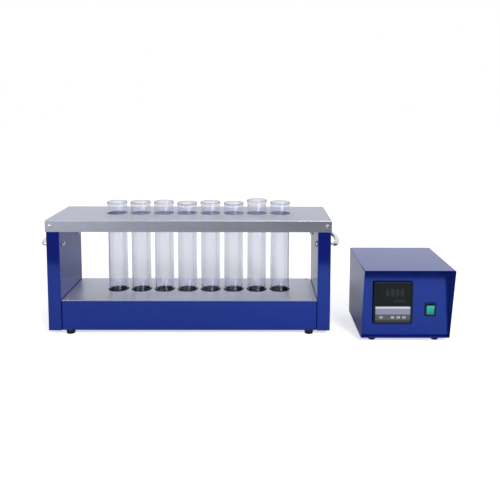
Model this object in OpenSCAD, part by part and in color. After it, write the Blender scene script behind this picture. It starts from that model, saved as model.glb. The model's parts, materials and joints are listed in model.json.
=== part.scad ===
// Eight-place block digester: a heating unit with a tube shelf over a heated block,
// and a separate temperature control box that stands beside it.
// Millimetres. +Z is up, the feet stand on z = 0, the fronts face -Y,
// and the origin is at the bottom centre of the whole set.

/* [Heating unit] */
// Width across the two side columns
unit_w = 626; // [590:1:760]
// Depth of the side columns
unit_d = 164; // [150:1:220]
// Height from the underside of the base to the top of the shelf
unit_h = 250; // [200:1:256]
// Width of one side column
column_w = 29; // [22:1:40]
// Thickness of the folded sheet metal
sheet_t = 1.2; // [1:0.1:1.6]
// Outer radius of the upright folds
fold_r = 2.5; // [2:0.25:3]

/* [Base] */
// Height of the base up to the top of the steel plate
base_h = 69; // [64:1:100]
// Thickness of the steel top plate
plate_t = 2; // [1:0.5:4]
// Gap between the top plate and each column
plate_gap = 1.5; // [0.5:0.25:4]
// How far the blue base box sits back from the column faces
base_setback = 3; // [2:0.5:6]
// Width of the folded rim that carries the top plate
rim_w = 12; // [10:1:16]

/* [Tube shelf] */
// Height of the folded lip round the shelf
shelf_lip = 27; // [22:1:40]
// Outer radius of the shelf's top folds
shelf_fold_r = 3; // [1.5:0.25:3]
// Hole for a tube in the shelf
shelf_hole_d = 47.5; // [46.5:0.5:50]

/* [Tubes and wells] */
// Spacing of the tubes
tube_pitch = 54; // [51:0.5:58]
// How far the row of tubes is offset to the right
row_offset = 14.5; // [0:0.5:20]
// Distance of the row from the column faces
row_y = 83; // [76:1:90]
// Outer diameter of a glass tube
tube_od = 44; // [36:0.5:44.5]
// Wall of a glass tube
tube_wall = 2; // [1.5:0.25:3]
// Length of a glass tube
tube_len = 257; // [240:1:320]
// How much the rim bead stands out beyond the tube
bead_out = 1.1; // [0.25:0.05:1.3]
// Height of the rim bead
bead_h = 8; // [4:1:16]
// Hole for a tube in the top plate
plate_hole_d = 48; // [46:0.5:50]
// Depth of a well below the top of the plate
well_depth = 50; // [45:1:50]
// Clearance all round a tube in its well
well_clear = 0.5; // [0.3:0.1:0.8]

/* [Heater] */
// Metal left round the wells at the ends of the block
block_end = 9.75; // [8:0.25:12]
// Depth of the block from front to back
block_d = 90; // [90:1:100]
// Height of the block's underside above the base's underside
block_z = 12; // [10:0.5:12]
// Diameter of a heater rod
rod_d = 12; // [8:0.5:12]
// Distance of each heater rod from the centre of the row
rod_offset = 33; // [32:0.5:35]
// Height of the heater rods above the block's underside
rod_z = 18; // [14:0.5:20]
// Diameter of the temperature probe
probe_d = 5; // [3:0.5:6]
// Length of the temperature probe
probe_len = 190; // [100:5:300]

/* [Handles] */
// Diameter of the handle rod
handle_d = 10; // [8:0.5:12]
// Distance between the two legs of a handle
handle_span = 116; // [90:1:124]
// Reach of the rod's centre at a leg
handle_leg = 13; // [11:0.5:20]
// Reach of the rod's centre in the middle
handle_reach = 21.5; // [20.5:0.5:40]
// Radius of the bend at the end of each leg
handle_bend = 7; // [6:0.5:9]
// Height of the handles above the base's underside
handle_z = 191.5; // [120:0.5:200]

/* [Feet] */
// Height of the rubber feet
foot_h = 10; // [8:0.5:16]
// Diameter of the heating unit's feet
foot_d = 20; // [18:0.5:26]
// Diameter of the control box's feet
box_foot_d = 17; // [17:0.5:24]

/* [Control box] */
// Width of the control box
box_w = 192.5; // [191:0.5:260]
// Height of the control box above its underside
box_h = 157.5; // [146:0.5:200]
// Depth of the control box along its underside
box_d = 163.5; // [163:0.5:240]
// How far the cover's top reaches out past its bottom edge
visor = 29.5; // [5:0.5:40]
// How far the front panel sits back from the cover's bottom edge
panel_recess = 7; // [7:0.5:12]
// Free space between the heating unit's handle and the control box
unit_gap = 35.5; // [10:0.5:120]
// How far the control box stands in front of the column faces
box_forward = 40; // [0:1:60]

/* [Temperature controller] */
// Width of the controller's frame
meter_w = 86; // [84:0.5:90]
// Height of the controller's frame
meter_h = 93.5; // [91:0.5:96]
// Thickness of the frame in front of the panel
meter_t = 7; // [6.5:0.25:9]
// Place of the controller across the panel, from the middle
meter_x = -28; // [-34:0.5:-28]
// Height of the controller's centre above the box's underside
meter_z = 77; // [60:0.5:90]
// Depth of the controller behind the panel
meter_depth = 80; // [60:1:90]
// Height of the display window
window_h = 46; // [40:0.5:48]
// Width of a key
key_w = 8; // [6:0.5:9]
// Height of a key
key_h = 5.5; // [4:0.25:7]
// Travel of a key
key_travel = 0.6; // [0.4:0.05:0.65]

/* [Switch] */
// Width of the switch frame
switch_w = 24; // [23:0.5:26]
// Height of the switch frame
switch_h = 30; // [28:0.5:32]
// Place of the switch across the panel, from the middle
switch_x = 54.2; // [45:0.1:60]
// Height of the switch's centre above the box's underside
switch_z = 61.3; // [50:0.1:100]
// Width of the rocker
rocker_w = 16.8; // [15:0.1:17.5]
// Height of the rocker
rocker_h = 21; // [18:0.5:22]
// Tilt of the rocker to each side
rocker_tilt = 9; // [5:0.5:11]

/* [Hidden] */
$fn = 48;

// Clearances
fit = 0.1;           // round a fixed screw, stud or rod in its hole
seat_gap = 0.3;      // under a tube on the floor of its well
pivot_gap = 0.05;    // round the rocker's pivot pins
key_gap = 0.3;       // round a key or the rocker in its window
eps = 0.01;          // a cut runs this far past a face

// Colours
blue = [0.15, 0.22, 0.52];
steel = [0.72, 0.72, 0.76];
bright = [0.85, 0.85, 0.87];
black = [0.06, 0.06, 0.07];
graphite = [0.12, 0.12, 0.13];
white_fibre = [0.88, 0.87, 0.83];
glass = [0.82, 0.84, 0.93, 0.45];

// The heating unit: X = 0 midway between the columns, Y = 0 at the column faces,
// Z = 0 at the underside of the base
tube_count = 8;
half_w = unit_w / 2;
base_half = half_w - column_w;
shelf_z = unit_h - sheet_t;
plate_z = base_h - plate_t;
base_back = unit_d - base_setback;
wall_back = base_back - sheet_t;
tube_x = [for (i = [0 : tube_count - 1]) row_offset + (i - (tube_count - 1) / 2) * tube_pitch];
// Hand-drawn tubes differ a little in length
tube_extra = [0, 0, 0.5, -2, 0, -2, 4.5, -0.5];
well_d = tube_od + 2 * well_clear;
well_z = base_h - well_depth;
handle_out = handle_reach + handle_d / 2;
bolt_d = 6;          // bolts of the columns and handles
dome_d = 15;         // domed bolt head
dome_base = 1.2;     // straight edge under the dome
bend_run = 0.1;      // degrees that the bow runs on into its bends
bend_swell = 0.1;    // a bent rod is this much thicker in its bends

// Screws: thread diameter, head diameter, head height, length under the head
m3 = [3, 5.6, 1.8, 8];
m4 = [4, 7.6, 2.4, 10];
m4_foot = [4, 7.6, 2.4, 9];

// Where the plate's screws and the posts sit
plate_screw_x = [-1.5, -0.5, 0.5, 1.5];
plate_screw_end = 12;
plate_screw_step = (2 * base_half - 2 * plate_screw_end) / 3;
plate_screw_in = 7;
column_bolt_y = 28;
column_bolt_z = 22;
column_bolt_l = 12;
shelf_screw_in = 10;
shelf_screw_z = unit_h - shelf_lip / 2;
foot_web = 3;        // rubber left above a foot's screw seat
foot_in_x = 17;
foot_in_y = 13;

// The block and what lies round it
block_x0 = tube_x[0] - well_d / 2 - block_end;
block_x1 = tube_x[tube_count - 1] + well_d / 2 + block_end;
block_top = plate_z - 1;
block_y0 = row_y - block_d / 2;
block_y1 = row_y + block_d / 2;
lag_end = 10;
lag_front = 24;
lag_back = 18;
lag_top = block_top - 4;
rod_x0 = block_x0 - 14;
rod_level = block_z + rod_z;
probe_level = block_top - 14;
probe_y = row_y + rod_offset;
probe_head = 13;
probe_head_d = 9;
post_d = 14;
post_pin = 6;
post_pin_d = 6;
post_y = 30;

// The wiring bay at the left end of the base
bay_x = (block_x0 - lag_end - base_half) / 2;
strip_w = 22;
strip_h = 36;
strip_x1 = block_x0 - lag_end - 18;
strip_y0 = row_y - rod_offset - 13;
strip_y1 = row_y + rod_offset + 13;
inlet_x = strip_x1 - 8;
inlet_z = base_h / 2 + 5;
socket_x = block_x0 + 3;
socket_z = base_h / 2;
lead_d = 2.5;
inlet_leads = [-10, -3, 4];   // places of the three leads across the inlet
inlet_lead_z = 25;
inlet_lead_back = 12;

// Chassis sockets
inlet_flange = [50, 24, 2];
inlet_body = [27.6, 20];
inlet_recess = [24.6, 16.8, 15];
inlet_screw = 20;
inlet_body_l = 22;
jack_d = 14;
jack_flange = 19;
jack_l = 9;

// The control box: X = 0 at its middle, Y = 0 at the cover's bottom front edge,
// Z = 0 at the cover's underside
box_half = box_w / 2;
box_gap = 0.5;
chassis_half = box_half - sheet_t - box_gap;
chassis_top = box_h - sheet_t - box_gap;
panel_y = panel_recess;
panel_in = panel_y + sheet_t;
rear_y = box_d - 3;
rear_in = rear_y - sheet_t;
floor_z = 2 * sheet_t;
cover_flange = 12;
box_foot_x = 69;
box_foot_y = 21;
cover_screw_in = 7;
cover_screw_y = [30, box_d - 30];

// The controller
meter_y = panel_y - meter_t;
meter_border = [5, 3.5, 8.5];      // sides, bottom, top
meter_recess = 3;
glass_step = 1.2;
face_w = meter_w - 2 * meter_border[0];
face_z0 = meter_z - meter_h / 2 + meter_border[1];
face_z1 = meter_z + meter_h / 2 - meter_border[2];
window_z = face_z1 - window_h;
case_w = meter_w - 8;
case_h = meter_h - 8;
case_wall = 2;
board_y = panel_in + 1;
key_z = face_z0 + 11.7;
key_stem = 3;
key_out = 0.8;
key_x = [-25.5, -0.7, 11.7, 24.2];
tact_y = 6.8;
clamp_l = 42;        // side clip: length along the case, height, sheet and ear
clamp_h = 18;
clamp_t = 1.5;
clamp_ear = 7;

// Centre of a terminal pocket in the controller's back: side -1 or 1, row -3 to 3
function meter_pin(side, row) = [meter_x + side * 26, panel_y + meter_depth - 1, meter_z + 10 * row];

// The rocker turns on a pin behind the frame
rocker_y = panel_y + 1.5;
switch_t = 2;
rocker_pin_d = 3;
rocker_pin = 1.6;
rocker_half = rocker_h / 2;
rocker_front = panel_y - switch_t;
switch_depth = 24;
rocker_lift = rocker_half * tan(rocker_tilt);
// Half height of the opening: the rocker's corner plus a running gap
rocker_swing = norm([rocker_y - rocker_front + rocker_lift, rocker_half]) + key_gap;

// The relay and its heat sink
sink = [66, 70, 34];
sink_x = 20;
sink_y = box_d - box_foot_y - sink[1] - 9;
fin_count = 8;
fin_t = 2;
sink_base = 4;
relay_size = [45, 60, 23];
relay_x = sink_x + (sink[0] - relay_size[0]) / 2;
relay_y = sink_y + (sink[1] - relay_size[1]) / 2;
relay_z = floor_z + sink[2];

// Places on the control box's rear panel
inlet_px = -50;
inlet_pz = 40;
outlet_px = 52;
outlet_pz = 112;
jack_px = 0;
jack_pz = 70;

// Where the two units stand
overall_w = 2 * handle_out + unit_w + unit_gap + box_w;
overall_d = visor + box_forward + unit_d + sheet_t + m4[2];
heater_pos = [-overall_w / 2 + handle_out + half_w, -overall_d / 2 + visor + box_forward, foot_h];
box_pos = [overall_w / 2 - box_half, -overall_d / 2 + visor, foot_h];

module at_heater() {
  translate(heater_pos) children();
}

module at_box() {
  translate(box_pos) children();
}

// ---- shared shapes ----

// A box with round upright edges, centred on X and Y
module round_box(w, d, h, r) {
  linear_extrude(h) {
    square([w - 2 * r, d], center = true);
    square([w, d - 2 * r], center = true);
    for (x = [-1, 1], y = [-1, 1])
      translate([x * (w / 2 - r), y * (d / 2 - r)]) circle(r);
  }
}

// A plate in the XZ plane with round corners, from y = 0 to y = t
module round_panel(w, h, t, r) {
  translate([0, t, 0]) rotate([90, 0, 0]) round_box(w, h, t, r);
}

// An arch outline: flat at the bottom, with round top corners, centred on X
module arch_outline(w, h, r) {
  translate([-w / 2, 0]) square([w, h - r]);
  translate([-w / 2 + r, 0]) square([w - 2 * r, h]);
  for (x = [-1, 1]) translate([x * (w / 2 - r), h - r]) circle(r);
}

// A cylinder along +Y
module rod_y(d, l) {
  rotate([-90, 0, 0]) cylinder(d = d, h = l);
}

// A cylinder along +X
module rod_x(d, l) {
  rotate([0, 90, 0]) cylinder(d = d, h = l);
}

// A pan-head screw: the head on z = 0 and up, the thread going down
module pan_screw(s) {
  difference() {
    union() {
      translate([0, 0, -s[3]]) cylinder(d = s[0], h = s[3] + eps);
      cylinder(d1 = s[1], d2 = s[1] * 0.78, h = s[2]);
    }
    for (a = [0, 90])
      rotate([0, 0, a]) translate([0, 0, s[2]])
        cube([s[1] * 0.55, s[0] * 0.22, s[2]], center = true);
  }
}

// The hole that a screw passes through, z = 0 at the outer face
module screw_hole(s, l) {
  translate([0, 0, -l]) cylinder(d = s[0] + 2 * fit, h = l + 1);
}

// A hexagon bolt, the head on z = 0 and up, the shank going down, and its nut past the grip
module hex_bolt(d, l, grip) {
  cylinder(d = d * 1.9, h = d * 0.6, $fn = 6);
  translate([0, 0, -l]) cylinder(d = d, h = l + eps);
  translate([0, 0, -grip - d * 0.8]) difference() {
    cylinder(d = d * 1.9, h = d * 0.8, $fn = 6);
    translate([0, 0, -1]) cylinder(d = d + 2 * fit, h = d + 2);
  }
}

// A lead: straight runs between the points with round corners
module lead(points, d = lead_d) {
  for (i = [0 : len(points) - 2]) {
    v = points[i + 1] - points[i];
    translate(points[i])
      rotate([0, acos(v[2] / norm(v)), atan2(v[1], v[0])])
        cylinder(d = d, h = norm(v), $fn = 24);
  }
  for (i = [1 : 1 : len(points) - 2]) translate(points[i]) sphere(d = d, $fn = 24);
}

// A rubber foot, its top on z = 0, with a sunk seat for its screw
module foot(d, h) {
  difference() {
    translate([0, 0, -h]) cylinder(d1 = d - 1.5, d2 = d, h = h);
    translate([0, 0, -h - eps]) cylinder(d = m4_foot[1] + 1.4, h = h - foot_web + eps);
    translate([0, 0, -h]) cylinder(d = m4_foot[0] + 2 * fit, h = h + 1);
  }
}

module foot_screw() {
  translate([0, 0, -foot_web]) mirror([0, 0, 1]) pan_screw(m4_foot);
}

// A power inlet seen from the back of a panel: the panel's outer face is y = 0,
// its inside is towards -Y; pins stand in the recess
module power_inlet() {
  difference() {
    union() {
      round_panel(inlet_flange[0], inlet_flange[1], inlet_flange[2], 6);
      translate([0, -inlet_body_l, 0])
        round_panel(inlet_body[0], inlet_body[1], inlet_body_l + eps, 3);
    }
    translate([0, inlet_flange[2] - inlet_recess[2], 0])
      round_panel(inlet_recess[0], inlet_recess[1], inlet_recess[2] + 1, 3);
    for (x = [-1, 1]) translate([x * inlet_screw, -1, 0]) rod_y(m3[0] + 2 * fit, 6);
  }
  for (p = [[-7, 1.9], [7, 1.9], [0, 5.9]])
    translate([p[0] - 1, inlet_flange[2] - inlet_recess[2] - eps, p[1] - 2])
      cube([2, inlet_recess[2] - 3, 4]);
}

// A power outlet: the same frame with a face that has three slots
module power_outlet() {
  difference() {
    union() {
      round_panel(inlet_flange[0], inlet_flange[1], inlet_flange[2], 6);
      translate([0, inlet_flange[2] - eps, 0])
        round_panel(inlet_recess[0], inlet_recess[1], 2, 3);
      translate([0, -inlet_body_l, 0])
        round_panel(inlet_body[0], inlet_body[1], inlet_body_l + eps, 3);
    }
    for (p = [[-7, -2], [7, -2], [0, 2.5]])
      translate([p[0] - 1.2, -10, p[1] - 2.3]) cube([2.4, 20, 4.6]);
    for (x = [-1, 1]) translate([x * inlet_screw, -1, 0]) rod_y(m3[0] + 2 * fit, 6);
  }
}

module inlet_cutout(t) {
  translate([0, -t - 1, 0])
    round_panel(inlet_body[0] + 2 * fit, inlet_body[1] + 2 * fit, t + 2, 3);
  for (x = [-1, 1])
    translate([x * inlet_screw, -t - 1, 0]) rod_y(m3[0] + 2 * fit, t + 2);
}

// A round four-contact socket, its flange on y = 0, with a ring nut inside
module probe_socket(wall) {
  difference() {
    union() {
      rod_y(jack_flange, 2);
      translate([0, -jack_l, 0]) rod_y(jack_d, jack_l + eps);
      translate([0, 2 - eps, 0]) rod_y(jack_d - 1, 3);
      translate([0, -wall - 3, 0]) rotate([-90, 0, 0]) cylinder(d = jack_flange, h = 3, $fn = 6);
    }
    for (a = [45 : 90 : 315])
      translate([3 * cos(a), -4, 3 * sin(a)]) rod_y(1.6, 12);
  }
}

// ---- heating unit ----

module base_tray() {
  color(blue) at_heater() difference() {
    translate([0, (base_setback + base_back) / 2, 0])
      round_box(2 * base_half, base_back - base_setback, plate_z, fold_r);
    // The inside, and the opening within the rim
    translate([-base_half + sheet_t, base_setback + sheet_t, sheet_t])
      cube([2 * (base_half - sheet_t), wall_back - base_setback - sheet_t, plate_z - 2 * sheet_t]);
    translate([-base_half + rim_w, base_setback + rim_w, plate_z - 2 * sheet_t])
      cube([2 * (base_half - rim_w), base_back - base_setback - 2 * rim_w, 3 * sheet_t]);
    plate_screw_places() screw_hole(m3, 12);
    heater_foot_places() translate([0, 0, 5]) screw_hole(m4_foot, 12);
    post_places() translate([0, 0, -1]) cylinder(d = post_pin_d + 2 * fit, h = 3);
    column_bolt_places() translate([0, 0, -6]) cylinder(d = bolt_d + 2 * fit, h = 12);
    translate([inlet_x, base_back, inlet_z]) inlet_cutout(sheet_t);
    translate([socket_x, wall_back - 1, socket_z]) rod_y(jack_d + 2 * fit, sheet_t + 2);
    // Cooling slots in the floor of the wiring bay
    for (y = [50 : 12 : 110])
      translate([bay_x - 22, y, -1]) cube([24, 4, 3]);
  }
}

module plate_screw_places() {
  for (i = plate_screw_x, y = [plate_screw_in, unit_d - plate_screw_in])
    translate([i * plate_screw_step, y, base_h]) children();
}

module heater_foot_places() {
  for (x = [-1, 1], y = [foot_in_y, unit_d - foot_in_y])
    translate([x * (base_half - foot_in_x), y, 0]) children();
}

module post_places() {
  for (x = [tube_x[0] + tube_pitch / 2, tube_x[tube_count - 1] - tube_pitch / 2], y = [-post_y, post_y])
    translate([x, row_y + y, 0]) children();
}

// Bolts through the end walls of the base into the columns, heads inside the base
module column_bolt_places() {
  for (s = [-1, 1], y = [column_bolt_y, unit_d - column_bolt_y])
    translate([s * (base_half - sheet_t), y, column_bolt_z]) rotate([0, -s * 90, 0]) children();
}

module top_plate() {
  color(steel) at_heater() difference() {
    translate([-base_half + plate_gap, base_setback / 2, plate_z])
      cube([2 * (base_half - plate_gap), unit_d - base_setback, plate_t]);
    for (x = tube_x)
      translate([x, row_y, plate_z - 1]) cylinder(d = plate_hole_d, h = plate_t + 2, $fn = 96);
    plate_screw_places() screw_hole(m3, plate_t + 1);
  }
}

module top_plate_screws() {
  color(bright) at_heater() plate_screw_places() pan_screw(m3);
}

// The right column; the left one is its mirror image
module column() {
  difference() {
    translate([base_half + column_w / 2, unit_d / 2, 0])
      round_box(column_w, unit_d, shelf_z, fold_r);
    translate([base_half + sheet_t, sheet_t, sheet_t])
      cube([column_w - 2 * sheet_t, unit_d - 2 * sheet_t, shelf_z]);
    column_bolt_places() translate([0, 0, -6]) cylinder(d = bolt_d + 2 * fit, h = 12);
    handle_leg_places() translate([-column_w - 1, 0, 0]) rod_x(bolt_d + 2 * fit, column_w + 2);
    shelf_screw_places() screw_hole(m4, 2 * sheet_t + 1);
  }
}

module left_column() {
  color(blue) at_heater() mirror([1, 0, 0]) column();
}

module right_column() {
  color(blue) at_heater() column();
}

module column_bolts() {
  color(bright) at_heater() column_bolt_places() hex_bolt(bolt_d, column_bolt_l, 2 * sheet_t);
}

// Legs of the right handle, x = 0 at the column's outer face
module handle_leg_places() {
  for (y = [-1, 1])
    translate([half_w, unit_d / 2 + y * handle_span / 2, handle_z]) children();
}

module shelf_screw_places() {
  for (x = [-1, 1]) {
    translate([x * (half_w + sheet_t - shelf_screw_in), -sheet_t, shelf_screw_z])
      rotate([90, 0, 0]) children();
    translate([x * (half_w + sheet_t - shelf_screw_in), unit_d + sheet_t, shelf_screw_z])
      rotate([-90, 0, 0]) children();
  }
}

// A folded pan turned upside down over the columns
module tube_shelf() {
  color(steel) at_heater() difference() {
    intersection() {
      translate([0, unit_d + sheet_t, unit_h - shelf_lip]) rotate([90, 0, 0])
        linear_extrude(unit_d + 2 * sheet_t) arch_outline(unit_w + 2 * sheet_t, shelf_lip, shelf_fold_r);
      translate([-half_w - sheet_t, unit_d / 2, unit_h - shelf_lip])
        rotate([90, 0, 90])
          linear_extrude(unit_w + 2 * sheet_t) arch_outline(unit_d + 2 * sheet_t, shelf_lip, shelf_fold_r);
    }
    translate([-half_w, 0, unit_h - shelf_lip - 1]) cube([unit_w, unit_d, shelf_lip + 1 - sheet_t]);
    for (x = tube_x)
      translate([x, row_y, shelf_z - 1]) cylinder(d = shelf_hole_d, h = sheet_t + 2, $fn = 96);
    shelf_screw_places() screw_hole(m4, sheet_t + 1);
  }
}

module shelf_screws() {
  color(bright) at_heater() shelf_screw_places() pan_screw(m4);
}

// A bow handle: two legs, a bend at the end of each, and a rod that arches out between them
module bow_handle() {
  rise = handle_reach - handle_leg;
  bow_r = (pow(handle_span / 2, 2) + rise * rise) / (2 * rise);
  bow_x = handle_reach - bow_r;
  bend_y = handle_span / 2 - handle_bend;
  bend_x = bow_x + sqrt(pow(bow_r - handle_bend, 2) - bend_y * bend_y);
  bow_a = atan2(bend_y, bend_x - bow_x);
  translate([half_w, unit_d / 2, handle_z]) difference() {
    union() {
      translate([bow_x, 0, 0]) rotate([0, 0, -bow_a - bend_run])
        rotate_extrude(angle = 2 * (bow_a + bend_run)) translate([bow_r, 0]) circle(d = handle_d);
      for (m = [0, 1]) mirror([0, m, 0]) {
        translate([bend_x, bend_y, 0]) rotate([0, 0, bow_a])
          rotate_extrude(angle = 90 - bow_a) translate([handle_bend, 0]) circle(d = handle_d + bend_swell);
        translate([0, handle_span / 2, 0]) rod_x(handle_d, bend_x + 0.3);
      }
    }
    for (m = [-1, 1]) translate([-1, m * handle_span / 2, 0]) rod_x(bolt_d + 2 * fit, 11);
  }
}

module left_handle() {
  color(bright) at_heater() mirror([1, 0, 0]) bow_handle();
}

module right_handle() {
  color(bright) at_heater() bow_handle();
}

// Domed bolts from the inner face of each column into the handle's legs
module handle_bolts() {
  color(bright) at_heater() for (m = [0, 1]) mirror([m, 0, 0]) handle_leg_places() {
    translate([-column_w - dome_base, 0, 0]) rod_x(bolt_d, column_w + 10);
    translate([-column_w - dome_base, 0, 0]) rod_x(dome_d, dome_base);
    intersection() {
      translate([-column_w + 2, 0, 0]) sphere(r = dome_d / 2);
      translate([-column_w - dome_d - 1, -dome_d, -dome_d]) cube([dome_d, 2 * dome_d, 2 * dome_d]);
    }
  }
}

module heating_block() {
  color(graphite) at_heater() difference() {
    translate([block_x0, block_y0, block_z]) cube([block_x1 - block_x0, block_d, block_top - block_z]);
    for (x = tube_x) translate([x, row_y, well_z + well_d / 2]) {
      cylinder(d = well_d, h = block_top, $fn = 96);
      sphere(d = well_d, $fn = 96);
    }
    for (s = [-1, 1])
      translate([block_x0 - 1, row_y + s * rod_offset, rod_level])
        rod_x(rod_d + 2 * fit, block_x1 - block_x0 + 2);
    translate([block_x0 - 1, probe_y, probe_level]) rod_x(probe_d + 2 * fit, probe_len + 2);
    post_places() translate([0, 0, block_z - 1]) cylinder(d = post_pin_d + 2 * fit, h = post_pin + 1.5);
  }
}

module heater_rods() {
  color(bright) at_heater() for (s = [-1, 1]) translate([rod_x0, row_y + s * rod_offset, rod_level]) {
    rod_x(rod_d, block_x1 - rod_x0);
    translate([-3, 0, 0]) rod_x(rod_d * 0.6, 3 + eps);
  }
}

module block_insulation() {
  color(white_fibre) at_heater() difference() {
    translate([block_x0 - lag_end, block_y0 - lag_front, sheet_t])
      cube([block_x1 - block_x0 + 2 * lag_end, block_d + lag_front + lag_back, lag_top - sheet_t]);
    translate([block_x0, block_y0, block_z]) cube([block_x1 - block_x0, block_d, lag_top]);
    for (s = [-1, 1])
      translate([block_x0 - lag_end - 1, row_y + s * rod_offset, rod_level]) rod_x(rod_d + 2 * fit, lag_end + 2);
    translate([block_x0 - lag_end - 1, probe_y, probe_level]) rod_x(probe_d + 2 * fit, lag_end + 2);
    post_places() cylinder(d = post_d + 2 * fit, h = block_z + 1);
  }
}

// Spacers that carry the block, pinned into it and riveted to the floor
module block_posts() {
  color(bright) at_heater() post_places() {
    cylinder(d = post_pin_d, h = block_z + post_pin);
    translate([0, 0, sheet_t]) cylinder(d = post_d, h = block_z - sheet_t);
  }
}

module temperature_probe() {
  color(bright) at_heater() translate([block_x0 - lag_end, probe_y, probe_level]) {
    rod_x(probe_d, lag_end + probe_len);
    translate([-probe_head, 0, 0]) rod_x(probe_head_d, probe_head);
  }
}

module terminal_block() {
  pole = (strip_y1 - strip_y0) / 6;
  color(white_fibre) at_heater() difference() {
    translate([strip_x1 - strip_w, strip_y0, sheet_t]) cube([strip_w, strip_y1 - strip_y0, strip_h - sheet_t]);
    for (i = [0 : 5], x = [6, strip_w - 6])
      translate([strip_x1 - x, strip_y0 + (i + 0.5) * pole, strip_h - 8]) cylinder(d = 6, h = 10);
    for (i = [1 : 5])
      translate([strip_x1 - strip_w - 1, strip_y0 + i * pole - 0.75, strip_h - 4]) cube([strip_w + 2, 1.5, 6]);
  }
}

// Leads inside the base: rods to terminals, terminals to the inlet, probe to its socket
module heater_leads() {
  jack_y = wall_back - jack_l / 2;
  over_z = probe_level + 5;
  side_x = strip_x1 + lead_d;
  color([0.75, 0.2, 0.15]) at_heater() {
    for (s = [-1, 1])
      lead([[rod_x0 - 3, row_y + s * rod_offset, rod_level], [strip_x1, row_y + s * rod_offset, rod_level]]);
    for (x = inlet_leads)
      lead([[inlet_x + x, strip_y1, inlet_lead_z], [inlet_x + x, wall_back - inlet_lead_back, inlet_lead_z],
            [inlet_x + x, wall_back - inlet_lead_back, inlet_z - inlet_body[1] / 2]]);
    lead([[block_x0 - lag_end - probe_head, probe_y, probe_level], [side_x, probe_y, probe_level],
          [side_x, probe_y, over_z], [side_x, jack_y, over_z], [socket_x, jack_y, over_z],
          [socket_x, jack_y, socket_z + jack_d / 2]]);
  }
}

module heater_inlet() {
  color(black) at_heater() translate([inlet_x, base_back, inlet_z]) power_inlet();
}

module heater_probe_socket() {
  color(bright) at_heater() translate([socket_x, base_back, socket_z]) probe_socket(sheet_t);
}

module heater_feet() {
  color(black) at_heater() heater_foot_places() foot(foot_d, foot_h);
}

module heater_foot_screws() {
  color(bright) at_heater() heater_foot_places() foot_screw();
}

// A round-bottomed glass tube with a bead round its mouth
module tube(i) {
  l = tube_len + tube_extra[i];
  r = tube_od / 2;
  color(glass) at_heater() translate([tube_x[i], row_y, well_z + seat_gap]) difference() {
    union() {
      translate([0, 0, r]) cylinder(r = r, h = l - r, $fn = 96);
      translate([0, 0, r]) sphere(r = r, $fn = 96);
      translate([0, 0, l - bead_h]) cylinder(r = r + bead_out, h = bead_h, $fn = 96);
    }
    translate([0, 0, r]) cylinder(r = r - tube_wall, h = l, $fn = 96);
    translate([0, 0, r]) sphere(r = r - tube_wall, $fn = 96);
  }
}

// ---- control box ----

// Side outline of the cover, in Y and Z: upright at the back, leaning out at the front
module cover_side() {
  polygon([[0, 0], [box_d, 0], [box_d, box_h], [-visor, box_h]]);
}

module control_cover() {
  inner_r = max(fold_r - sheet_t, 0.1);
  color(blue) at_box() {
    intersection() {
      translate([0, box_d, 0]) rotate([90, 0, 0]) linear_extrude(box_d + visor) difference() {
        arch_outline(box_w, box_h, fold_r);
        translate([0, -1]) arch_outline(box_w - 2 * sheet_t, box_h + 1 - sheet_t, inner_r);
      }
      translate([-box_half, 0, 0]) rotate([90, 0, 90]) linear_extrude(box_w) cover_side();
    }
    // Turned-in flanges under the floor
    for (x = [-1, 1]) difference() {
      translate([x > 0 ? box_half - cover_flange : -box_half, panel_in, 0])
        cube([cover_flange, rear_in - panel_in, sheet_t]);
      cover_screw_places() translate([0, 0, -1]) cylinder(d = m3[0] + 2 * fit, h = 4);
    }
  }
}

module cover_screw_places() {
  for (x = [-1, 1], y = cover_screw_y)
    translate([x * (box_half - cover_screw_in), y, 0]) children();
}

module box_foot_places() {
  for (x = [-1, 1], y = [box_foot_y, box_d - box_foot_y])
    translate([x * box_foot_x, y, sheet_t]) children();
}

// Floor, front panel and rear panel, folded from one sheet, with a lip at the foot of the panel
module control_chassis() {
  color(blue) at_box() difference() {
    union() {
      translate([-chassis_half, panel_y, sheet_t])
        cube([2 * chassis_half, rear_y - panel_y, chassis_top - sheet_t]);
      translate([-chassis_half, 0, sheet_t]) cube([2 * chassis_half, panel_y + eps, sheet_t]);
      translate([-chassis_half, 0, 0]) cube([2 * chassis_half, sheet_t, sheet_t + eps]);
    }
    translate([-chassis_half - 1, panel_in, floor_z])
      cube([2 * chassis_half + 2, rear_in - panel_in, chassis_top]);
    translate([meter_x, panel_y - 1, meter_z]) rotate([-90, 0, 0])
      translate([-case_w / 2 - fit, -case_h / 2 - fit, 0]) cube([case_w + 2 * fit, case_h + 2 * fit, 4]);
    translate([switch_x, panel_y - 1, switch_z])
      round_panel(switch_w - 2 + 2 * fit, switch_h - 2 + 2 * fit, 4, 1);
    translate([inlet_px, rear_y, inlet_pz]) inlet_cutout(sheet_t);
    translate([outlet_px, rear_y, outlet_pz]) inlet_cutout(sheet_t);
    translate([jack_px, rear_in - 1, jack_pz]) rod_y(jack_d + 2 * fit, sheet_t + 2);
    cover_screw_places() translate([0, 0, -1]) cylinder(d = m3[0] + 2 * fit, h = 6);
    box_foot_places() translate([0, 0, 5]) screw_hole(m4_foot, 12);
    // Cooling slots in the rear panel and in the floor under the heat sink
    for (x = [-66 : 12 : -6])
      translate([x, rear_in - 1, 96]) cube([4, 4, 30]);
    for (x = [sink_x + 6 : 12 : sink_x + sink[0] - 8])
      translate([x, sink_y + 10, 0]) cube([4, sink[1] - 20, 4]);
  }
}

module cover_screws() {
  color(bright) at_box() cover_screw_places() mirror([0, 0, 1]) pan_screw([m3[0], m3[1], m3[2], 6]);
}

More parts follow.
